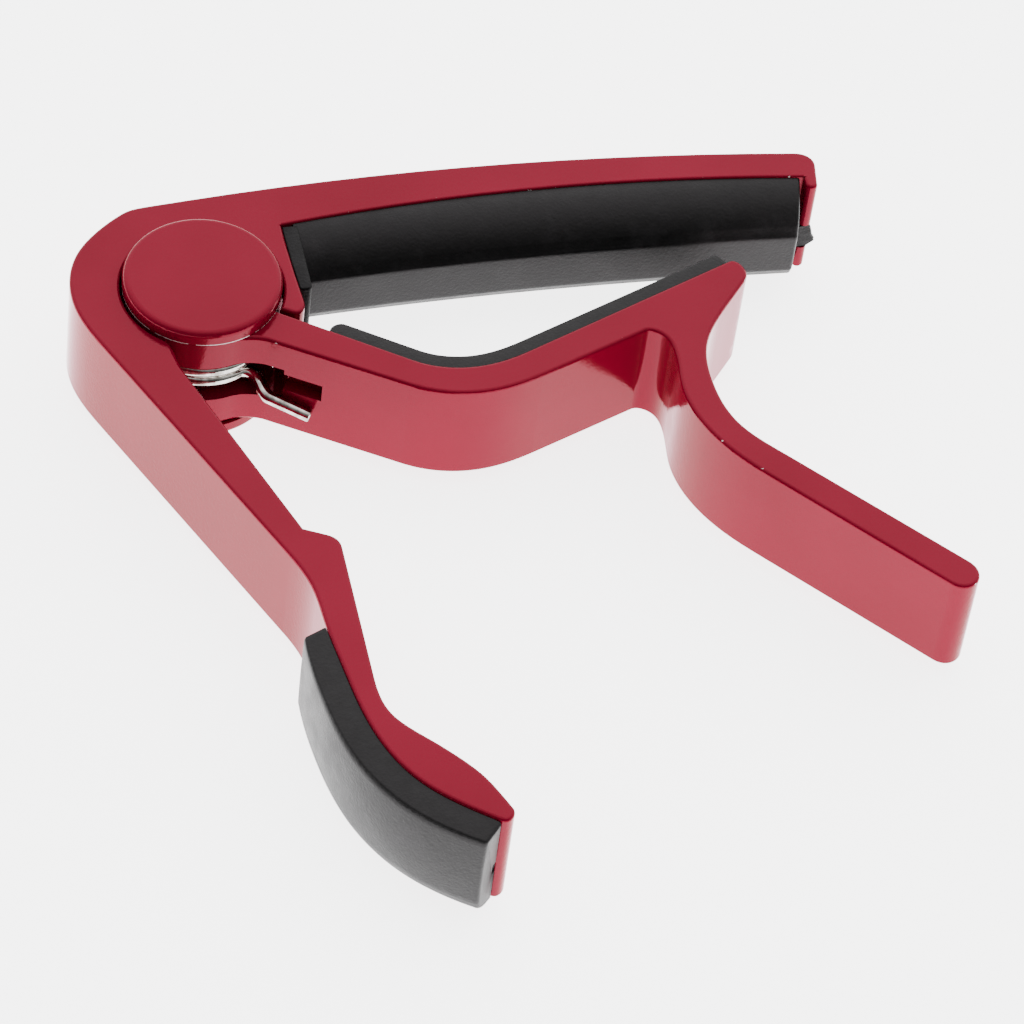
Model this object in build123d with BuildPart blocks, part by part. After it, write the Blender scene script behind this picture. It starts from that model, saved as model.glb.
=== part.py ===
"""Quick-change guitar capo.

Two die-castings, the main frame and the lever, turn on one pin and are driven shut by a
torsion spring.  Rubber pads line the bar, the jaw and the foot of the grip leg.
The pivot axis is Z, the bar runs along +X, and the lower hub cap rests on z = 0.
All lengths are in millimetres.
"""
import os
from math import cos, pi, radians, sin

from build123d import *

os.makedirs("parts", exist_ok=True)

# Levels along the pivot axis
cap_thick = 1.80
cap_gap = 0.05
cast_thick = 13.70
cast_low = cap_thick + cap_gap
cast_high = cast_low + cast_thick
mid_z = (cast_low + cast_high) / 2
overall_high = cast_high + cap_gap + cap_thick
gap_low = 6.05
gap_high = 11.35

# Hub
cap_r = 9.00
cap_round = 0.75
ear_r = 8.70
pocket_r = 9.20
gap_r = 9.50
tongue_r = 6.60
tongue_thick = 1.10
arbor_r = 6.25
pin_r = 2.50
run_clear = 0.05
pin_bury = 1.00

# Castings and pads
edge_round = 0.40
seat_round = 0.30
pad_inset = 0.30
pad_low = cast_low + pad_inset
pad_thick = cast_thick - 2 * pad_inset
nose_half = 2.75
seat_peak = 10.45
pad_end_x = 71.75
nose_end_x = 70.55
flange_x = 12.40
tail_low = 5.40
tail_high = 8.80
tail_slack = 0.15
grip_round = 2.20

# Spring
wire_r = 0.75
coil_r = 7.45
coil_pitch = 1.60
coil_sweep = 526.0
coil_low_z = 8.00
coil_low_angle = -64.0
anchor_length = 9.0
anchor_clear = 0.15
leg_bend = (6.40, -10.05, 7.10)
leg_end = (10.65, -12.55, 6.15)


def on_circle(radius, angle):
    """Point at a radius and an angle in degrees about the pivot."""
    return (radius * cos(radians(angle)), radius * sin(radians(angle)))


def way(start, end):
    """Direction from one point to another."""
    return (Vector(*end) - Vector(*start)).normalized()


def bar_seat():
    """Underside of the bar, from the end lug back to the stub."""
    return ThreePointArc((72.1, 8.65), (41.3, seat_peak), (10.5, 8.3))


def stub_wall():
    """Side of the stub that faces the string pad."""
    return ThreePointArc((10.5, 8.3), (10.65, 2.8), (11.05, -3.3))


def grip_seat():
    """Outside of the foot under the grip pad, from the toe upwards."""
    return Spline(
        (17.6, -77.0), (10.6, -70.8), (6.8, -61.8), (5.7, -55.0), (5.0, -49.6),
        tangents=(toe_way, (-0.1, 1)),
    )


def jaw_seat(start):
    """Jaw side of the lever's arm, from a start on the straight beside the hub out to the tip."""
    Line(start, (21.5, -13.6))
    Spline((21.5, -13.6), (28.5, -15.4), (35.0, -13.75), tangents=(jaw_in_way, jaw_out_way))
    Line((35.0, -13.75), (60.2, -3.3))


def edges_at(part, level):
    """Edges that lie wholly in the horizontal plane at a level."""
    return part.edges().filter_by_position(Axis.Z, level - 0.001, level + 0.001)


def outer_rim(part, level):
    """Edges of the outermost loop at a level."""
    return part.faces().filter_by_position(Axis.Z, level - 0.001, level + 0.001)[0].outer_wire().edges()


# Directions shared between neighbouring outlines
toe_way = (-0.82, 0.57)
jaw_in_way = way((7.45, -4.5), (21.5, -13.6))
neck_pad_start = Vector(7.45, -4.5) + jaw_in_way * 6.6
jaw_out_way = way((35.0, -13.75), (60.2, -3.3))

# Coil geometry shared by the spring and by its anchor hole in the frame
coil_rise = coil_pitch * coil_sweep / 360
coil_high_z = coil_low_z + coil_rise
anchor_angle = coil_low_angle - coil_sweep
anchor_start = (*on_circle(coil_r, anchor_angle), coil_high_z)
coil_slope = coil_pitch / (2 * pi * coil_r)
anchor_way = (sin(radians(anchor_angle)), -cos(radians(anchor_angle)), coil_slope)


# Main frame: bar, bend, grip leg, stub and end lug
with BuildPart() as main_frame:
    with BuildSketch(Plane.XY.offset(cast_low)):
        with BuildLine():
            # back of the bar and the end lug
            back = ThreePointArc((0, 13.42), (34, 14.92), (71.9, 12.62))
            Spline((71.9, 12.62), (73.95, 10.35), tangents=(back % 1, way((73.95, 10.35), (73.5, 7.55))))
            Line((73.95, 10.35), (73.5, 7.55))
            ThreePointArc((73.5, 7.55), (72.8, 6.85), (72.1, 7.55))
            Line((72.1, 7.55), (72.1, 8.65))
            # seat of the string pad and the stub that ends it
            bar_seat()
            wall = stub_wall()
            Spline((11.05, -3.3), (10.0, -5.2), on_circle(pocket_r, -28), tangents=(wall % 1, (-0.9, 0.45)))
            # pocket round the hub
            pocket = ThreePointArc(
                on_circle(pocket_r, -28), on_circle(pocket_r, 102.5), on_circle(pocket_r, 233)
            )
            # inside of the leg
            leg_way = way((-4.2, -11.9), (5.0, -36.1))
            Spline(on_circle(pocket_r, 233), (-4.2, -11.9), tangents=(pocket % 1, leg_way))
            Line((-4.2, -11.9), (5.0, -36.1))
            Line((5.0, -36.1), (7.25, -37.15))
            Spline((7.25, -37.15), (8.75, -39.2), tangents=(way((5.0, -36.1), (7.25, -37.15)), (0.1, -17.8)))
            Line((8.75, -39.2), (8.85, -57.0))
            foot = Spline(
                (8.85, -57.0), (9.75, -62.05), (13.3, -66.2), (17.2, -70.6), (19.95, -75.95),
                tangents=((0.1, -17.8), (0.4, -0.92)),
            )
            # toe, seat of the grip pad and outside of the leg
            Spline((19.95, -75.95), (19.2, -77.6), (17.6, -77.0), tangents=(foot % 1, toe_way))
            grip = grip_seat()
            outer_way = way((2.88, -39.65), (-11.12, -10.05))
            Spline((5.0, -49.6), (4.52, -44.4), (2.88, -39.65), tangents=(grip % 1, outer_way))
            Line((2.88, -39.65), (-11.12, -10.05))
            Spline(
                (-11.12, -10.05), (-14.68, 0), (-12.9, 7.1), (-7.5, 12.05), (0, 13.42),
                tangents=(outer_way, back % 0),
            )
        make_face()
    extrude(amount=cast_thick)
    rims = edges_at(main_frame, cast_low) + edges_at(main_frame, cast_high)
    fillet(rims.filter_by(lambda edge: abs((edge @ 0.5).Y - seat_peak) > 0.1), edge_round)
    # the two rims over the pad's seat are rounded by a cut that follows the seat
    for level, side in ((cast_low, -1), (cast_high, 1)):
        with BuildLine(Plane.XY.offset(level)) as rim:
            bar_seat()
        with BuildSketch(Plane(origin=rim.line @ 0, x_dir=(0, 0, side), z_dir=rim.line % 0)):
            rise = side * seat_round
            with BuildLine():
                Polyline(
                    (-seat_round, 0), (-seat_round, -rise), (seat_round, -rise), (seat_round, rise), (0, rise)
                )
                RadiusArc((0, rise), (-seat_round, 0), rise)
            make_face()
        sweep(mode=Mode.SUBTRACT)
    # tongue that carries the pivot, low in the gap between the ears
    with BuildSketch(Plane.XY.offset(gap_low + run_clear)):
        with BuildLine():
            ThreePointArc(on_circle(tongue_r, 35), on_circle(tongue_r, -55), on_circle(tongue_r, 215))
            Line(on_circle(tongue_r, 215), on_circle(pocket_r + 1, 215))
            ThreePointArc(
                on_circle(pocket_r + 1, 215), on_circle(pocket_r + 1, 125), on_circle(pocket_r + 1, 35)
            )
            Line(on_circle(pocket_r + 1, 35), on_circle(tongue_r, 35))
        make_face()
    extrude(amount=tongue_thick)
    # arbor inside the coil
    with BuildSketch(Plane.XY.offset(gap_low + run_clear)):
        Circle(arbor_r)
    extrude(amount=gap_high - gap_low - 2 * run_clear)
    with BuildSketch(Plane.XY):
        Circle(pin_r)
    extrude(amount=overall_high, mode=Mode.SUBTRACT)
    # hole for the buried end of the spring
    with BuildSketch(Plane(origin=anchor_start, z_dir=anchor_way)):
        Circle(wire_r + anchor_clear)
    extrude(amount=anchor_length + 0.3, mode=Mode.SUBTRACT)
    # notch in the end lug for the pad's tail
    with BuildSketch(Plane.XY.offset(tail_low - tail_slack)):
        with Locations((73.1, 8.0)):
            Rectangle(2.4, 3.1)
    extrude(amount=tail_high - tail_low + 2 * tail_slack, mode=Mode.SUBTRACT)
main_frame.part.label = "main_frame"
export_step(main_frame.part, "parts/main_frame.step")


# Lever: forked hub, jaw arm and trigger handle
with BuildPart() as lever:
    with BuildSketch(Plane.XY.offset(cast_low)):
        with BuildLine():
            jaw_seat((7.45, -4.5))
            # tip and outside of the handle
            Spline((60.2, -3.3), (61.92, -4.75), (61.3, -6.6), tangents=(jaw_out_way, (-0.64, -0.77)))
            handle_out = way((60.05, -32.45), (76.35, -49.95))
            Spline(
                (61.3, -6.6), (57.6, -11.0), (55.1, -15.0), (54.35, -21.0), (56.0, -27.5), (60.05, -32.45),
                tangents=((-0.64, -0.77), handle_out),
            )
            Line((60.05, -32.45), (76.35, -49.95))
            # end and inside of the handle
            handle_in = way((73.5, -52.8), (57.4, -35.3))
            Spline((76.35, -49.95), (76.4, -53.05), (73.5, -52.8), tangents=(handle_out, handle_in))
            Line((73.5, -52.8), (57.4, -35.3))
            arm_way = way((48.2, -12.65), (35.5, -17.7))
            Spline(
                (57.4, -35.3), (54.2, -31.4), (51.8, -27.0), (50.65, -21.2), (51.0, -15.6),
                (50.3, -13.5), (48.2, -12.65),
                tangents=(handle_in, arm_way),
            )
            # front of the arm and the round of the hub
            Line((48.2, -12.65), (35.5, -17.7))
            root_way = way((20.5, -17.35), (6.3, -8.98))
            Spline((35.5, -17.7), (28.3, -19.35), (20.5, -17.35), tangents=(arm_way, root_way))
            Line((20.5, -17.35), (6.3, -8.98))
            ear_way = (-sin(radians(75)), -cos(radians(75)))
            Spline((6.3, -8.98), on_circle(ear_r, -75), tangents=(root_way, ear_way))
            ThreePointArc(on_circle(ear_r, -75), on_circle(ear_r, 127), (7.45, -4.5))
        make_face()
    extrude(amount=cast_thick)
    # gap between the ears, carried into the arm for the spring's leg
    with BuildSketch(Plane.XY.offset(gap_low)):
        Circle(gap_r)
        with BuildLine():
            Polyline((2.0, -8.0), (6.9, -11.5), (9.0, -8.0), (8.0, -5.4), (0, 0), (2.0, -8.0))
        make_face()
    extrude(amount=gap_high - gap_low, mode=Mode.SUBTRACT)
    # shallow slot that runs on from the gap
    with BuildSketch(Plane.XY.offset(8.15)):
        with Locations(Location((9.4, -10.8, 0), (0, 0, -30.5))):
            Rectangle(5.6, 3.2)
    extrude(amount=2.5, mode=Mode.SUBTRACT)
    with BuildSketch(Plane.XY):
        Circle(pin_r + run_clear)
    extrude(amount=overall_high, mode=Mode.SUBTRACT)
    fillet(outer_rim(lever, cast_low) + outer_rim(lever, cast_high), edge_round)
lever.part.label = "lever"
export_step(lever.part, "parts/lever.step")


# String pad: arched rubber with a blunt nose, a flange on the stub and a tail in the lug
with BuildPart() as string_pad:
    with BuildLine() as nose:
        ThreePointArc((11.8, 2.72, mid_z), (44, 3.65, mid_z), (71.6, 2.78, mid_z))
    with BuildSketch(Plane(origin=nose.line @ 0, x_dir=(0, 0, 1), z_dir=nose.line % 0)):
        with BuildLine():
            Line((-nose_half, 0), (nose_half, 0))
            ThreePointArc((nose_half, 0), (5.45, -2.45), (pad_thick / 2, -5.85))
            Line((pad_thick / 2, -5.85), (pad_thick / 2, -9.3))
            Line((pad_thick / 2, -9.3), (-pad_thick / 2, -9.3))
            Line((-pad_thick / 2, -9.3), (-pad_thick / 2, -5.85))
            ThreePointArc((-pad_thick / 2, -5.85), (-5.45, -2.45), (-nose_half, 0))
        make_face()
    sweep()
    with BuildSketch(Plane.XY.offset(pad_low)):
        with BuildLine():
            Line((flange_x, 0), (flange_x, 12))
            Line((flange_x, 12), (pad_end_x, 12))
            Polyline((pad_end_x, 12), (pad_end_x, 9), (nose_end_x, 3.1), (nose_end_x - 0.3, 2.7))
            Polyline((nose_end_x - 0.3, 2.7), (nose_end_x - 0.3, 0), (flange_x, 0))
        make_face()
        with BuildLine():
            bar_seat()
            Polyline((10.5, 8.3), (10.5, 0), (72.1, 0), (72.1, 8.65))
        make_face(mode=Mode.INTERSECT)
    extrude(amount=pad_thick, mode=Mode.INTERSECT)
    with BuildSketch(Plane.XY.offset(pad_low)):
        with BuildLine():
            stub_wall()
            Polyline((11.05, -3.3), (flange_x, -3.3), (flange_x, 8.3), (10.5, 8.3))
        make_face()
        with Locations((flange_x, -2.5)):
            Rectangle(3, 2, mode=Mode.SUBTRACT)
    extrude(amount=pad_thick)
    with BuildSketch(Plane.XY.offset(tail_low)):
        with Locations((72.4, 7.8)):
            Rectangle(3.8, 1.6)
    extrude(amount=tail_high - tail_low)
string_pad.part.label = "string_pad"
export_step(string_pad.part, "parts/string_pad.step")


# Neck pad: rubber strip along the jaw
with BuildPart() as neck_pad:
    with BuildSketch(Plane.XY.offset(pad_low)):
        with BuildLine():
            jaw_seat(neck_pad_start)
            Line((60.2, -3.3), (59.15, -1.8))
            back_way = way((59.15, -1.8), (34.3, -12.0))
            Line((59.15, -1.8), (34.3, -12.0))
            inner_way = way((22.5, -12.0), (15.0, -7.15))
            Spline((34.3, -12.0), (28.45, -13.5), (22.5, -12.0), tangents=(back_way, inner_way))
            Line((22.5, -12.0), (15.0, -7.15))
            Spline((15.0, -7.15), neck_pad_start, tangents=(inner_way, (-0.3, -0.95)))
        make_face()
    extrude(amount=pad_thick)
neck_pad.part.label = "neck_pad"
export_step(neck_pad.part, "parts/neck_pad.step")


# Grip pad: rubber on the outside of the leg's foot, with a small locating notch at its end
with BuildPart() as grip_pad:
    with BuildSketch(Plane.XY.offset(pad_low)):
        with BuildLine():
            grip_seat()
            Line((5.0, -49.6), (2.45, -50.7))
            Spline(
                (2.45, -50.7), (2.95, -59.0), (4.7, -66.7), (8.9, -74.0), (16.4, -80.1),
                tangents=((-0.05, -1), (0.85, -0.5)),
            )
            Polyline((16.4, -80.1), (18.5, -77.9), (18.3, -77.65), (17.6, -77.0))
        make_face()
    extrude(amount=pad_thick)
    # the long lower edge on the outside is well rounded
    fillet(edges_at(grip_pad, pad_low).sort_by(SortBy.LENGTH)[-1], grip_round)
    with BuildSketch(Plane.XY.offset(mid_z - 1.5)):
        with Locations((18.4, -78.0)):
            Circle(0.5)
    extrude(amount=1.6, mode=Mode.SUBTRACT)
grip_pad.part.label = "grip_pad"
export_step(grip_pad.part, "parts/grip_pad.step")


# Pivot pin
with BuildPart() as pivot_pin:
    with BuildSketch(Plane.XY.offset(cap_thick - pin_bury)):
        Circle(pin_r)
    extrude(amount=overall_high - 2 * (cap_thick - pin_bury))
    chamfer(pivot_pin.edges(), 0.25)
pivot_pin.part.label = "pivot_pin"
export_step(pivot_pin.part, "parts/pivot_pin.step")


# Lower hub cap
with BuildPart() as hub_cap_bottom:
    with BuildSketch(Plane.XY):
        Circle(cap_r)
    extrude(amount=cap_thick)
    fillet(edges_at(hub_cap_bottom, 0), cap_round)
    with BuildSketch(Plane.XY.offset(cap_thick - pin_bury)):
        Circle(pin_r)
    extrude(amount=pin_bury, mode=Mode.SUBTRACT)
hub_cap_bottom.part.label = "hub_cap_bottom"
export_step(hub_cap_bottom.part, "parts/hub_cap_bottom.step")


# Upper hub cap
with BuildPart() as hub_cap_top:
    with BuildSketch(Plane.XY.offset(overall_high - cap_thick)):
        Circle(cap_r)
    extrude(amount=cap_thick)
    fillet(edges_at(hub_cap_top, overall_high), cap_round)
    with BuildSketch(Plane.XY.offset(overall_high - cap_thick)):
        Circle(pin_r)
    extrude(amount=pin_bury, mode=Mode.SUBTRACT)
hub_cap_top.part.label = "hub_cap_top"
export_step(hub_cap_top.part, "parts/hub_cap_top.step")


# Torsion spring: coil with one end buried in the frame and one leg bent over the lever's front
with BuildPart() as torsion_spring:
    with BuildLine() as wire:
        helix = Helix(
            coil_pitch, coil_rise, coil_r, center=(0, 0, coil_low_z), lefthand=True, mode=Mode.PRIVATE
        )
        coil = helix.rotate(Axis.Z, coil_low_angle)
        add(coil)
        Line(coil @ 1, coil @ 1 + coil % 1 * anchor_length)
        Spline(
            coil @ 0, (4.50, -6.70, 7.98), (5.33, -7.65, 7.85), (5.68, -8.80, 7.50), leg_bend,
            tangents=(coil % 0 * -1, way(leg_bend, leg_end)),
        )
        Line(leg_bend, leg_end)
    with BuildSketch(Plane(origin=wire.line @ 0, z_dir=wire.line % 0)):
        Circle(wire_r)
    sweep()
torsion_spring.part.label = "torsion_spring"
export_step(torsion_spring.part, "parts/torsion_spring.step")
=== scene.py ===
import math

import bpy
import bmesh
import numpy as np
from mathutils import Matrix, Vector


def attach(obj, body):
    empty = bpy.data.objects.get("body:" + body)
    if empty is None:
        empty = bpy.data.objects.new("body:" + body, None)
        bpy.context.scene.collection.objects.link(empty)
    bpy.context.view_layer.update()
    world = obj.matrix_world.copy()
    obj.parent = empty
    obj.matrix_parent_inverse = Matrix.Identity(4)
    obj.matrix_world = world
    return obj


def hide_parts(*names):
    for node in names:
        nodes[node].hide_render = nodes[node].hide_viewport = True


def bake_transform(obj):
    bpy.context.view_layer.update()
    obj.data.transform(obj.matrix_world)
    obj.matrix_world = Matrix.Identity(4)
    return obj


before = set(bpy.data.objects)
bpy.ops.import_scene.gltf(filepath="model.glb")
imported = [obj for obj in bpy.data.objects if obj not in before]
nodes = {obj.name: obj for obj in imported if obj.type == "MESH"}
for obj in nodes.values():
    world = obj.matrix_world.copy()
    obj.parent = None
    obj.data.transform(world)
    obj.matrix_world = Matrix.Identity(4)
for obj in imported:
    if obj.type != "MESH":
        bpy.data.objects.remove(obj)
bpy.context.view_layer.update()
MM = 0.001


# Materials ------------------------------------------------------------------------------------
BUMP_STRENGTH = 0.8
NOISE_LOW, NOISE_HIGH = 0.3, 0.7  # nearly all of a noise lies between these


def material(name):
    """A new material, its node tree and its shader."""
    made = bpy.data.materials.new(name)
    made.use_nodes = True
    tree = made.node_tree
    tree.nodes.clear()
    out = tree.nodes.new("ShaderNodeOutputMaterial")
    shader = tree.nodes.new("ShaderNodeBsdfPrincipled")
    tree.links.new(shader.outputs["BSDF"], out.inputs["Surface"])
    return made, tree, shader


def noise(tree, scale, detail, rough=0.5):
    """Noise in object space. The scale is in features per metre."""
    where = tree.nodes.new("ShaderNodeTexCoord")
    made = tree.nodes.new("ShaderNodeTexNoise")
    made.inputs["Scale"].default_value = scale
    made.inputs["Detail"].default_value = detail
    made.inputs["Roughness"].default_value = rough
    tree.links.new(where.outputs["Object"], made.inputs["Vector"])
    return made.outputs["Fac"]


def ramp(tree, source, stops):
    """A colour looked up from a value, by stops of (value, colour)."""
    made = tree.nodes.new("ShaderNodeValToRGB")
    while len(made.color_ramp.elements) < len(stops):
        made.color_ramp.elements.new(0.5)
    for element, (place, colour) in zip(made.color_ramp.elements, stops):
        element.position = place
        element.color = (*colour, 1)
    tree.links.new(source, made.inputs["Fac"])
    return made.outputs["Color"]


def bump(tree, shader, source, depth, socket="Normal"):
    """Raises the surface by a source, as deep as depth in metres."""
    made = tree.nodes.new("ShaderNodeBump")
    made.inputs["Distance"].default_value = depth
    made.inputs["Strength"].default_value = BUMP_STRENGTH
    tree.links.new(source, made.inputs["Height"])
    tree.links.new(made.outputs["Normal"], shader.inputs[socket])
    return made


def remap(tree, source, first, last, low=0.0, high=1.0):
    """A value that runs from low to high as the source runs from first to last, and stays there."""
    made = tree.nodes.new("ShaderNodeMapRange")
    made.inputs["From Min"].default_value = first
    made.inputs["From Max"].default_value = last
    made.inputs["To Min"].default_value = low
    made.inputs["To Max"].default_value = high
    tree.links.new(source, made.inputs["Value"])
    return made.outputs["Result"]


def times(tree, a, b):
    """One value times another."""
    made = tree.nodes.new("ShaderNodeMath")
    made.operation = "MULTIPLY"
    tree.links.new(a, made.inputs[0])
    tree.links.new(b, made.inputs[1])
    return made.outputs["Value"]


def band(tree, low, high, soft):
    """One where the height over the floor, in mm, lies between two levels, else zero."""
    where = tree.nodes.new("ShaderNodeTexCoord")
    split = tree.nodes.new("ShaderNodeSeparateXYZ")
    tree.links.new(where.outputs["Object"], split.inputs["Vector"])
    over_low = remap(tree, split.outputs["Z"], (low - soft) * MM, low * MM)
    under_high = remap(tree, split.outputs["Z"], (high + soft) * MM, high * MM)
    return times(tree, over_low, under_high)


def blended(tree, share, below, above):
    """One colour over another by a mask. A colour is a socket or three numbers."""
    made = tree.nodes.new("ShaderNodeMix")
    made.data_type = "RGBA"
    tree.links.new(share, made.inputs["Factor"])
    for socket, value in (("A", below), ("B", above)):
        place = next(item for item in made.inputs if item.name == socket and item.type == "RGBA")
        if isinstance(value, tuple):
            place.default_value = (*value, 1)
        else:
            tree.links.new(value, place)
    return next(item for item in made.outputs if item.type == "RGBA")


def enamel(name, wear_and_highlight_heights, wear_and_highlight_over):
    """Glossy paint over a cast part, with a faint orange peel. Between two heights over the floor,
    in mm, and where a noise passes a threshold, it turns pale pink: chipped paint on the red parts,
    and on the caps, where the threshold is low, an almost unbroken painted highlight line."""
    made, tree, shader = material(name)
    dark, light, bare_and_highlight = (0.150, 0.002, 0.013), (0.175, 0.003, 0.017), (0.6, 0.5, 0.5)
    chip_and_highlight_edge = 0.015
    tone = ramp(tree, noise(tree, scale=60, detail=5), [(NOISE_LOW, dark), (NOISE_HIGH, light)])
    # The pale mask is real chipping on the red parts and a painted highlight line on the caps.
    chips_and_highlight = remap(tree, noise(tree, scale=1100, detail=2), wear_and_highlight_over, wear_and_highlight_over + chip_and_highlight_edge)
    wear_and_highlight_mask = times(tree, band(tree, *wear_and_highlight_heights, soft=0.03), chips_and_highlight)
    tree.links.new(blended(tree, wear_and_highlight_mask, tone, bare_and_highlight), shader.inputs["Base Color"])
    shader.inputs["Metallic"].default_value = 0.3
    shader.inputs["Specular Tint"].default_value = (1.0, 0.3, 0.42, 1)
    shader.inputs["Roughness"].default_value = 0.1
    shader.inputs["Specular IOR Level"].default_value = 0.03
    shader.inputs["Coat Weight"].default_value = 0.4
    shader.inputs["Coat Roughness"].default_value = 0.04
    shader.inputs["Coat IOR"].default_value = 1.27
    grain = noise(tree, scale=2200, detail=4, rough=0.6)
    peel = bump(tree, shader, grain, depth=0.000018, socket="Coat Normal")
    tree.links.new(peel.outputs["Normal"], shader.inputs["Normal"])
    return made


def rubber(name, dark, light, rough, level, dust=0.012, grain=0.00006):
    """Matt moulded rubber: fine grain, with handling smudges that change its shine. The greys are
    dark, light and, in the smudges, dust. Level is the specular level."""
    made, tree, shader = material(name)
    fine = noise(tree, scale=900, detail=5)
    tone = ramp(tree, fine, [(NOISE_LOW, (dark,) * 3), (NOISE_HIGH, (light,) * 3)])
    patches = noise(tree, scale=260, detail=7, rough=0.62)
    sides = band(tree, low=2.5, high=14.6, soft=0.4)
    dusty = times(tree, remap(tree, patches, 0.5, 0.8), sides)
    smudged = blended(tree, dusty, tone, (dust, dust * 0.94, dust))
    tree.links.new(smudged, shader.inputs["Base Color"])
    shine = remap(tree, patches, NOISE_LOW, NOISE_HIGH, rough * 0.82, rough * 1.18)
    tree.links.new(shine, shader.inputs["Roughness"])
    shader.inputs["Specular IOR Level"].default_value = level
    shader.inputs["Specular Tint"].default_value = (1.0, 0.94, 0.97, 1)
    bump(tree, shader, noise(tree, scale=2800, detail=5, rough=0.6), depth=grain)
    return made


def steel(name, dark, light, rough):
    """Plated steel with faint dark and light patches and an uneven polish."""
    made, tree, shader = material(name)
    tone = ramp(tree, noise(tree, scale=900, detail=4, rough=0.6), [(0.38, dark), (0.6, light)])
    tree.links.new(tone, shader.inputs["Base Color"])
    shader.inputs["Metallic"].default_value = 1.0
    polish = remap(tree, noise(tree, scale=2500, detail=3), 0.0, 1.0, rough * 0.7, rough * 1.3)
    tree.links.new(polish, shader.inputs["Roughness"])
    return made


red = enamel("red_enamel", wear_and_highlight_heights=(15.25, 15.52), wear_and_highlight_over=0.722)
# On the caps the pale band is a painted highlight: an almost unbroken light line along the top
# cap's lower rim, where its rounded edge would catch the light.
cap_red_painted_highlight = enamel("cap_enamel_painted_highlight", wear_and_highlight_heights=(15.58, 15.68), wear_and_highlight_over=0.42)
pad_rubber = rubber("pad_rubber", 0.003, 0.005, rough=0.40, level=0.17)
strip_rubber = rubber("strip_rubber", 0.003, 0.006, rough=0.40, level=0.155, dust=0.02)
torn_rubber = rubber("torn_rubber", 0.0025, 0.0045, rough=0.5, level=0.12, dust=0.009,
                     grain=0.00009)
wire_steel = steel("wire_steel", (0.24, 0.22, 0.20), (0.60, 0.58, 0.54), rough=0.10)
pin_steel = steel("pin_steel", (0.45, 0.45, 0.46), (0.58, 0.58, 0.59), rough=0.3)


def finish_node(name, made):
    """A material on a CAD node."""
    piece = nodes[name]
    piece.data.materials.clear()
    piece.data.materials.append(made)


finish_node("main_frame", red)
finish_node("lever", red)
finish_node("hub_cap_top", cap_red_painted_highlight)
finish_node("hub_cap_bottom", cap_red_painted_highlight)
finish_node("pivot_pin", pin_steel)


# Shapes ---------------------------------------------------------------------------------------
# Lengths from here to the stage are in millimetres, and build() turns them into metres.
TINY = 1e-9
CORNER_STEPS = 7  # rings round the end of a moulding
STRIP_STEPS = 150  # rings between the two ends of a strip
SHARP = math.radians(40)  # faces that meet at more than this keep a hard edge


def smooth_line(points, start, end, count):
    """Points along the cubic spline through some points, with given end directions."""
    knots = np.array(points, float)
    steps = np.linalg.norm(np.diff(knots, axis=0), axis=1)
    place = np.concatenate([[0], np.cumsum(steps)])
    size = len(knots)
    system = np.zeros((size, size))
    right = np.zeros_like(knots)
    system[0, 0] = system[-1, -1] = 1
    right[0] = np.array(start, float) / np.linalg.norm(start)
    right[-1] = np.array(end, float) / np.linalg.norm(end)
    for i in range(1, size - 1):
        before, after = steps[i - 1], steps[i]
        system[i, i - 1], system[i, i], system[i, i + 1] = after, 2 * (before + after), before
        right[i] = 3 * (
            after * (knots[i] - knots[i - 1]) / before + before * (knots[i + 1] - knots[i]) / after
        )
    slopes = np.linalg.solve(system, right)
    line = []
    for t in np.linspace(0, place[-1], count):
        i = min(int(np.searchsorted(place, t, "right")) - 1, size - 2)
        h = steps[i]
        x = (t - place[i]) / h
        line.append(
            (2 * x**3 - 3 * x**2 + 1) * knots[i] + (x**3 - 2 * x**2 + x) * h * slopes[i]
            + (3 * x**2 - 2 * x**3) * knots[i + 1] + (x**3 - x**2) * h * slopes[i + 1]
        )
    return np.array(line)


def join_lines(*lines):
    """Lines end to end, with the shared points kept once."""
    kept = [np.array(lines[0], float)]
    for line in lines[1:]:
        kept.append(np.array(line, float)[1:])
    return np.concatenate(kept)


def straight(a, b, count=12):
    """Points along a straight line."""
    return np.linspace(np.array(a, float), np.array(b, float), count)


def along(line, lengths):
    """Points at given distances along a line."""
    gone = np.concatenate([[0], np.cumsum(np.linalg.norm(np.diff(line, axis=0), axis=1))])
    return np.stack([np.interp(lengths, gone, line[:, k]) for k in range(line.shape[1])], axis=1)


def length_of(line):
    """The length of a line of points."""
    return float(np.linalg.norm(np.diff(line, axis=0), axis=1).sum())


def build(name, rings, finish, body, stands_for=()):
    """A closed skin over rings of points, capped at both ends. It rides on a body and stands for
    some
    CAD nodes, where these are given."""
    rings = [np.array(ring, float) for ring in rings]
    size = len(rings[0])
    points = [tuple(point * MM) for ring in rings for point in ring]
    faces = []
    for i in range(len(rings) - 1):
        for j in range(size):
            k = (j + 1) % size
            faces.append((i * size + j, i * size + k, (i + 1) * size + k, (i + 1) * size + j))
    faces.append(tuple(range(size - 1, -1, -1)))
    last = (len(rings) - 1) * size
    faces.append(tuple(range(last, last + size)))
    mesh = bpy.data.meshes.new(name)
    mesh.from_pydata(points, [], faces)
    bulk = bmesh.new()
    bulk.from_mesh(mesh)
    bmesh.ops.recalc_face_normals(bulk, faces=bulk.faces)
    bulk.to_mesh(mesh)
    bulk.free()
    mesh.polygons.foreach_set("use_smooth", [True] * len(mesh.polygons))
    mesh.set_sharp_from_angle(angle=SHARP)
    mesh.materials.append(finish)
    piece = bpy.data.objects.new(name, mesh)
    bpy.context.collection.objects.link(piece)
    if stands_for:
        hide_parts(*stands_for)
    if body:
        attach(piece, body)
    return piece


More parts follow.
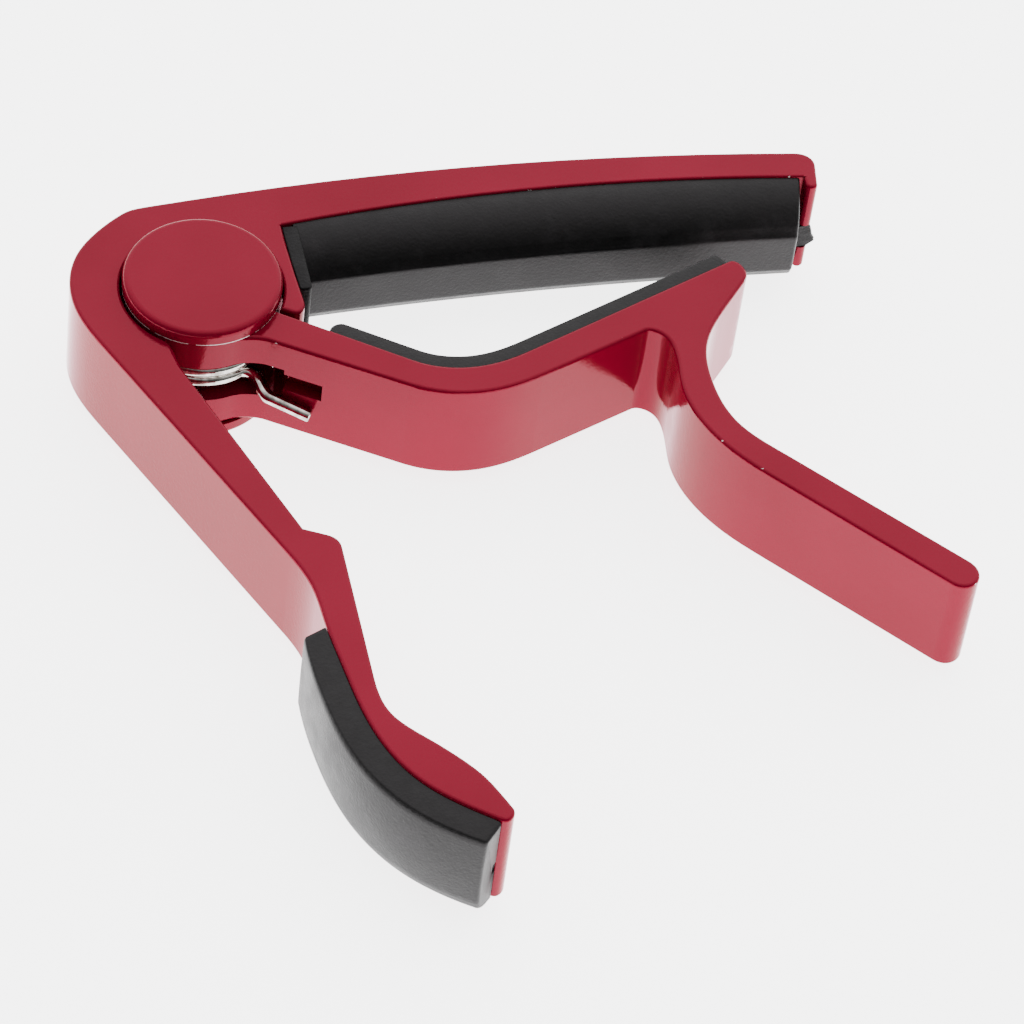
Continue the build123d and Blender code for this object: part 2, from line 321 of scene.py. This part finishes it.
def carve(piece, rings):
    """Cuts the closed skin over some rings out of a piece."""
    tool = build("tool", rings, piece.data.materials[0], None)
    cut = piece.modifiers.new("cut", "BOOLEAN")
    cut.operation = "DIFFERENCE"
    cut.solver = "EXACT"
    cut.object = tool
    view = bpy.context.evaluated_depsgraph_get()
    mesh = bpy.data.meshes.new_from_object(piece.evaluated_get(view))
    piece.modifiers.clear()
    piece.data = mesh
    bpy.data.objects.remove(tool)


def arc(centre, radius, first, last, count):
    """Points on a circle in a section, angles in degrees."""
    turn = np.radians(np.linspace(first, last, count))
    return np.stack([centre[0] + radius * np.cos(turn), centre[1] + radius * np.sin(turn)], axis=1)


def shrunk(section, inset):
    """A closed section moved inwards by a small distance."""
    if inset < TINY:
        return section
    back = section - np.roll(section, 1, axis=0)
    on = np.roll(section, -1, axis=0) - section
    back /= np.maximum(np.linalg.norm(back, axis=1, keepdims=True), TINY)
    on /= np.maximum(np.linalg.norm(on, axis=1, keepdims=True), TINY)
    way = back + on
    way /= np.maximum(np.linalg.norm(way, axis=1, keepdims=True), TINY)
    x, y = section[:, 0], section[:, 1]
    area = np.sum(x * np.roll(y, -1) - y * np.roll(x, -1))
    side = np.stack([-way[:, 1], way[:, 0]], axis=1) * (1 if area > 0 else -1)
    return section + side * inset


def strip(name, inner, outer, section_at, end_round, finish, body, stands_for):
    """A moulded strip between two lines in plan, with rounded ends. section_at(thick, u) gives a
    closed section of (distance from the inner line, height) points at a share u of the length."""
    size = min(length_of(inner), length_of(outer))
    turn = np.radians(np.linspace(0, 90, CORNER_STEPS))
    corner = end_round * (1 - np.sin(turn))
    inset = np.concatenate([corner, np.zeros(STRIP_STEPS), corner[::-1]])
    edge = end_round * (1 - np.cos(turn)) / size
    middle = np.linspace(edge[-1], 1 - edge[-1], STRIP_STEPS + 2)[1:-1]
    share = np.concatenate([edge, middle, 1 - edge[::-1]])
    near = along(inner, share * length_of(inner))
    far = along(outer, share * length_of(outer))
    rings = []
    for i, u in enumerate(share):
        across = far[i] - near[i]
        thick = float(np.linalg.norm(across))
        across /= thick
        section = shrunk(section_at(thick, u), inset[i])
        rings.append([(*(near[i] + across * s), z) for s, z in section])
    return build(name, rings, finish, body, stands_for)


# Pads -----------------------------------------------------------------------------------------
Z_LOW, Z_HIGH = 2.15, 15.25  # lower and upper face of every pad
Z_MID = (Z_LOW + Z_HIGH) / 2
TOP_ROUND = 0.35
CROWN_HALF = 6.2  # height from a strip's middle to where its crown ends


def strip_section(thick, low_round, low_steps, crown, crown_middle, face_steps, gap):
    """A strip's closed section: a flat inner side at a gap from the inner line, a crowned face."""
    heights = np.linspace(Z_LOW + low_round, Z_HIGH - TOP_ROUND, face_steps)
    bulge = crown * (1 - ((heights - crown_middle) / CROWN_HALF) ** 2).clip(0, 1)
    low_corner = (thick - low_round, Z_LOW + low_round)
    top_corner = (thick - TOP_ROUND, Z_HIGH - TOP_ROUND)
    return np.concatenate([
        [(gap, Z_LOW)],
        arc(low_corner, low_round, -90, 0, low_steps)[:-1],
        np.stack([thick + bulge, heights], axis=1),
        arc(top_corner, TOP_ROUND, 0, 90, 6)[1:],
        [(gap, Z_HIGH)],
    ])


def grip_section(thick, u):
    """Flat top, an outer face crowned most near mid-length, and a well rounded lower edge."""
    crown = 0.42 * math.sin(math.pi * min(1.0, 0.12 + u * 0.9)) + 0.1
    return strip_section(thick, low_round=min(2.3, thick * 0.8), low_steps=12, crown=crown,
                         crown_middle=Z_MID + 0.6, face_steps=18, gap=0.05)


GRIP_STEPS = 240
toe = (17.6, -77.03)
grip_inner = join_lines(
    straight((18.45, -77.72), toe, 8),
    smooth_line(
        [toe, (10.6, -70.8), (6.8, -61.8), (5.7, -55.0), (5.0, -49.6)],
        start=(-0.82, 0.57), end=(-0.1, 1), count=GRIP_STEPS,
    ),
)
grip_outer = smooth_line(
    [(16.35, -80.05), (8.9, -74.0), (4.7, -66.7), (2.95, -59.0), (2.45, -50.7)],
    start=(-0.85, 0.5), end=(0.05, 1), count=GRIP_STEPS,
)
grip = strip("grip_pad_rubber", grip_inner, grip_outer, grip_section, end_round=0.4,
             finish=strip_rubber, body="frame_body", stands_for=["grip_pad"])


def hole_rings(centre, radius, heights):
    """Rings for a round hole across a pad's end."""
    turns = np.linspace(0, 2 * math.pi, 14, endpoint=False)
    return [[(centre[0] + radius * math.cos(t), centre[1] + radius * math.sin(t), z) for t in turns]
            for z in heights]


# The small hole at the grip pad's toe.
carve(grip, hole_rings((18.1, -78.08), radius=0.4, heights=(7.2, 7.9, 8.8)))


def neck_section(thick, u):
    """Nearly square, with small rounded edges and a slight crown. It is the same all along."""
    return strip_section(thick, low_round=0.4, low_steps=6, crown=0.06, crown_middle=Z_MID,
                         face_steps=16, gap=0.03)


ear_end, dip_start = np.array((7.45, -4.5)), np.array((21.5, -13.6))
dip_end, jaw_end = np.array((35.0, -13.75)), np.array((60.2, -3.3))
in_way = dip_start - ear_end
in_way /= np.linalg.norm(in_way)
out_way = jaw_end - dip_end
neck_start = ear_end + in_way * 6.6
neck_inner = join_lines(
    straight(neck_start, dip_start),
    smooth_line([dip_start, (28.5, -15.4), dip_end], in_way, out_way, 40),
    straight(dip_end, jaw_end),
)
outer_start, outer_dip_start, outer_dip_end = (15.0, -7.15), (22.5, -12.0), (34.3, -12.0)
outer_in_way, outer_out_way = (7.5, -4.85), (24.85, 10.2)
neck_outer = join_lines(
    smooth_line([neck_start + (0.25, 0.35), outer_start], (0.3, 0.95), outer_in_way, 14),
    straight(outer_start, outer_dip_start),
    smooth_line([outer_dip_start, (28.45, -13.5), outer_dip_end], outer_in_way, outer_out_way, 40),
    straight(outer_dip_end, (59.15, -1.8)),
)
neck = strip("neck_pad_rubber", neck_inner, neck_outer, neck_section, end_round=0.3,
             finish=strip_rubber, body="lever_body", stands_for=["neck_pad"])


def circle_through(a, b, c):
    """Centre and radius of the circle through three points."""
    (ax, ay), (bx, by), (cx, cy) = a, b, c
    aa, bb, cc = ax**2 + ay**2, bx**2 + by**2, cx**2 + cy**2
    d = 2 * (ax * (by - cy) + bx * (cy - ay) + cx * (ay - by))
    ux = (aa * (by - cy) + bb * (cy - ay) + cc * (ay - by)) / d
    uy = (aa * (cx - bx) + bb * (ax - cx) + cc * (bx - ax)) / d
    return ux, uy, math.hypot(ax - ux, ay - uy)


def circle_height(x, a, b, c):
    """Height at x of the arc through three points."""
    ux, uy, radius = circle_through(a, b, c)
    return uy + math.copysign(math.sqrt(radius**2 - (x - ux) ** 2), b[1] - uy)


def nose_line(x):
    """The string pad's nose, which presses the strings."""
    return circle_height(x, (11.8, 2.72), (44, 3.65), (71.6, 2.78))


def seat_line(x):
    """The bar's underside, where the string pad sits."""
    return circle_height(x, (10.5, 8.3), (41.3, 10.45), (72.1, 8.65))


PAD_HALF = 6.55  # half of the pad's height at its seat


def nose_section():
    """Half of the pad's section as (height off the middle, rise above the nose), nose first."""
    nose_edge, mid, top = (2.9, 0.0), (5.5, 2.45), (PAD_HALF, 5.85)
    ux, uy, radius = circle_through(nose_edge, mid, top)
    first = math.atan2(nose_edge[1] - uy, nose_edge[0] - ux)
    last = math.atan2(top[1] - uy, top[0] - ux)
    flank = [(ux + radius * math.cos(turn), uy + radius * math.sin(turn))
             for turn in np.linspace(first, last, 26)]
    crease = [(2.35, 0.0), (2.6, 0.01), (2.77, 0.05)]
    eased = [(2.93, 0.15), (3.1, 0.33)]
    above_crease = [point for point in flank if point[1] > 0.55]
    return [(0.0, 0.0), (1.1, 0.0)] + crease + eased + above_crease


def string_pad_rings():
    """Sections along the string pad. The free end is rounded and leans out towards the seat."""
    first, last, end_round = 11.9, 70.55, 0.35
    close_from = 69.0  # the sections lie closer from here on
    lean, lean_from, lean_heights = 1.2, 66.0, (2.8, 9)
    into_seat = 0.02
    under_seat = 0.03  # keeps the flank's points off the seat's
    turn = np.radians(np.linspace(0, 90, CORNER_STEPS))
    edge = last - end_round * (1 - np.cos(turn))[::-1]
    places = np.concatenate([
        np.linspace(first, close_from, 110), np.linspace(close_from, edge[0], 16)[1:], edge[1:],
    ])
    corner = (end_round * (1 - np.sin(turn)))[::-1][1:]
    insets = np.concatenate([np.zeros(len(places) - len(corner)), corner])
    half = nose_section()
    rings = []
    for x, inset in zip(places, insets):
        nose, seat = nose_line(x), seat_line(x) + into_seat
        side = [(z, min(nose + rise, seat - under_seat)) for z, rise in half]
        flank_top = side[-1][1]
        side += [(PAD_HALF, seat - (seat - flank_top) * share) for share in (0.66, 0.33, 0.0)]
        upper = [(Z_MID + z, y) for z, y in side]
        lower = [(Z_MID - z, y) for z, y in side[1:]]
        section = shrunk(np.array(lower[::-1] + upper), inset)
        slant = lean * max(0.0, (x - lean_from) / (last - lean_from))
        rings.append([(x + slant * float(np.interp(y, lean_heights, (0, 1))), y, z)
                      for z, y in section])
    return rings


pad = build("string_pad_rubber", string_pad_rings(), pad_rubber, "frame_body", ["string_pad"])


def flange_rings():
    """The flange on the stub: a thin wall whose inner side follows the stub."""
    edge_round, far, off_stub = 0.25, 12.4, 0.02
    turn = np.radians(np.linspace(0, 90, 5))
    rise, corner = edge_round * (1 - np.cos(turn)), edge_round * (1 - np.sin(turn))
    heights = np.concatenate([Z_LOW + rise, Z_HIGH - rise[::-1]])
    insets = np.concatenate([corner, corner[::-1]])
    wall = [(np.interp(y, (-3.3, 2.8, 8.3), (11.05, 10.65, 10.5)) + off_stub, y)
            for y in np.linspace(-1.1, 8.25, 24)]
    back = [(far, 8.25)] + [(far, y) for y in np.linspace(7.0, -1.0, 14)]
    foot = list(arc((far - 0.5, -1.0), 0.5, 0, -90, 6)[1:]) + [(11.3, -1.5), (10.95, -1.38)]
    outline = np.array(wall + back + foot)
    return [[(x, y, z) for x, y in shrunk(outline, inset)] for z, inset in zip(heights, insets)]


build("string_pad_flange", flange_rings(), torn_rubber, "frame_body", ())


def tail_rings():
    """The pad's moulded tail in the notch of the end lug, torn off short and ragged."""
    reach = [(5.42, 73.35), (5.7, 73.8), (6.0, 74.15), (6.3, 74.25), (6.7, 74.0),
             (7.2, 73.9), (7.7, 73.75), (8.2, 73.6), (8.6, 73.45), (8.78, 73.3)]  # height, end
    root, neck_x = 70.8, 72.4
    low_y, high_y = 6.95, 8.6
    end = np.linspace(7.0, 8.55, 9)
    bulge = 0.4 * (end - 7.5) ** 2
    torn = np.random.default_rng(4).uniform(-0.09, 0.09, (len(reach), len(end), 2))
    rings = []
    for (z, far), jag in zip(reach, torn):
        ragged = [(far - b + jx, y + jy, z) for y, b, (jx, jy) in zip(end, bulge, jag)]
        rings.append([(root, high_y, z), (root, low_y, z), (neck_x, low_y + 0.03, z)] + ragged
                     + [(neck_x, high_y, z)])
    return rings


build("string_pad_tail", tail_rings(), torn_rubber, "frame_body", ())


# Spring ---------------------------------------------------------------------------------------
def spring_path():
    """The wire's middle line: buried end, coil, hairpin and the leg against the lever."""
    radius, pitch, low_z = 7.45, 1.60, 8.00
    low_angle, sweep = -64.0, 526.0  # degrees
    buried, coil_steps = 9.0, 230
    rise = pitch * sweep / 360
    climb = pitch / (2 * math.pi * radius)
    high = math.radians(low_angle - sweep)
    top = np.array((radius * math.cos(high), radius * math.sin(high), low_z + rise))
    run = np.array((math.sin(high), -math.cos(high), climb))
    run /= np.linalg.norm(run)
    turns = np.radians(np.linspace(low_angle - sweep, low_angle, coil_steps))
    share = np.linspace(1, 0, coil_steps)
    coil = np.stack([radius * np.cos(turns), radius * np.sin(turns), low_z + rise * share], axis=1)
    low = math.radians(low_angle)
    on = np.array((-math.sin(low), math.cos(low), -climb))
    bend, end = np.array((6.40, -10.05, 7.10)), np.array((10.65, -12.55, 6.15))
    hook = smooth_line(
        [coil[-1], (4.50, -6.70, 7.98), (5.33, -7.65, 7.85), (5.68, -8.80, 7.50), bend],
        start=on, end=end - bend, count=60,
    )
    return join_lines(straight(top + run * buried, top, 20), coil, hook, straight(bend, end, 24))


WIRE_RADIUS, WIRE_SIDES, CHAMFER = 0.75, 28, 0.12


def wire_rings(path):
    """Rings round a path, with chamfered ends."""
    ways = np.gradient(path, axis=0)
    ways /= np.linalg.norm(ways, axis=1, keepdims=True)
    side = np.cross(ways[0], (0, 0, 1.0))
    side /= np.linalg.norm(side)
    rings = []
    turns = np.linspace(0, 2 * math.pi, WIRE_SIDES, endpoint=False)
    for i, (point, way) in enumerate(zip(path, ways)):
        side -= way * side.dot(way)
        side /= np.linalg.norm(side)
        other = np.cross(way, side)
        size = WIRE_RADIUS - (CHAMFER if i in (0, len(path) - 1) else 0)
        rings.append([point + size * (math.cos(t) * side + math.sin(t) * other) for t in turns])
    return rings


path = spring_path()
reach = length_of(path)
body_stations = np.linspace(CHAMFER, reach - CHAMFER, 420)
stations = np.concatenate([[0], body_stations, [reach]])
spring = build("spring_wire", wire_rings(along(path, stations)), wire_steel, None,
               ["torsion_spring"])
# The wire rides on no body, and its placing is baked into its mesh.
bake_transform(spring)


# Stage ----------------------------------------------------------------------------------------
# Lengths from here on are in metres.
FLOOR_HALF = 3.0
FLOOR_DROP = 0.0001  # keeps the floor off the lower cap's face
FLOOR_GLOW = 4.2
SKY_STRENGTH = 3.3
# Stops of (share of the way from the dim pole to the bright one, colour).
SKY = [(0.35, (0.06,) * 3), (0.5, (0.12,) * 3), (0.82, (0.7,) * 3), (1.0, (1.0,) * 3)]


def direction(azimuth, elevation):
    """A unit vector, from angles in radians."""
    return (
        math.cos(azimuth) * math.cos(elevation), math.sin(azimuth) * math.cos(elevation),
        math.sin(elevation),
    )


def floor():
    """A plain pale sheet that gives off light of its own."""
    corners = [(x * FLOOR_HALF, y * FLOOR_HALF, -FLOOR_DROP)
               for x, y in ((-1, -1), (1, -1), (1, 1), (-1, 1))]
    mesh = bpy.data.meshes.new("floor")
    mesh.from_pydata(corners, [], [(0, 1, 2, 3)])
    piece = bpy.data.objects.new("floor", mesh)
    bpy.context.collection.objects.link(piece)
    made, tree, shader = material("paper")
    fibres = noise(tree, scale=400, detail=3)
    tone = ramp(tree, fibres, [(NOISE_LOW, (0.90,) * 3), (NOISE_HIGH, (0.93,) * 3)])
    tree.links.new(tone, shader.inputs["Base Color"])
    shader.inputs["Roughness"].default_value = 0.9
    shader.inputs["Specular IOR Level"].default_value = 0.0
    shader.inputs["Emission Color"].default_value = (1, 1, 1, 1)
    shader.inputs["Emission Strength"].default_value = FLOOR_GLOW
    mesh.materials.append(made)


def sky():
    """Soft light, brightest beyond the part and dim on the camera's side."""
    world = bpy.data.worlds.new("studio")
    world.use_nodes = True
    tree = world.node_tree
    where = tree.nodes.new("ShaderNodeTexCoord")
    lean = tree.nodes.new("ShaderNodeVectorMath")
    lean.operation = "DOT_PRODUCT"
    lean.inputs[1].default_value = direction(math.radians(72), math.radians(40))
    tree.links.new(where.outputs["Generated"], lean.inputs[0])
    tone = ramp(tree, remap(tree, lean.outputs["Value"], -1.0, 1.0), SKY)
    background = tree.nodes["Background"]
    tree.links.new(tone, background.inputs["Color"])
    background.inputs["Strength"].default_value = SKY_STRENGTH
    bpy.context.scene.world = world


floor()
sky()


# Camera ---------------------------------------------------------------------------------------
# The angle, distance and lens were solved from the photograph.
azimuth, elevation, roll = math.radians(-108.0), math.radians(49.5), math.radians(8.16)
target = Vector((0.02971, -0.03139, 0.0088))
distance = 0.5643
back = Vector(direction(azimuth, elevation))
level = Vector((-math.sin(azimuth), math.cos(azimuth), 0))
upright = back.cross(level)
right = level * math.cos(roll) + upright * math.sin(roll)
up = back.cross(right)
pose = Matrix((right, up, back)).transposed()
camera_data = bpy.data.cameras.new("camera")
camera_data.lens = 179.77
camera_data.sensor_width = 36
camera_data.clip_start = 0.05
camera_data.clip_end = 20
camera = bpy.data.objects.new("camera", camera_data)
bpy.context.collection.objects.link(camera)
camera.matrix_world = Matrix.Translation(target + back * distance) @ pose.to_4x4()
bpy.context.scene.camera = camera
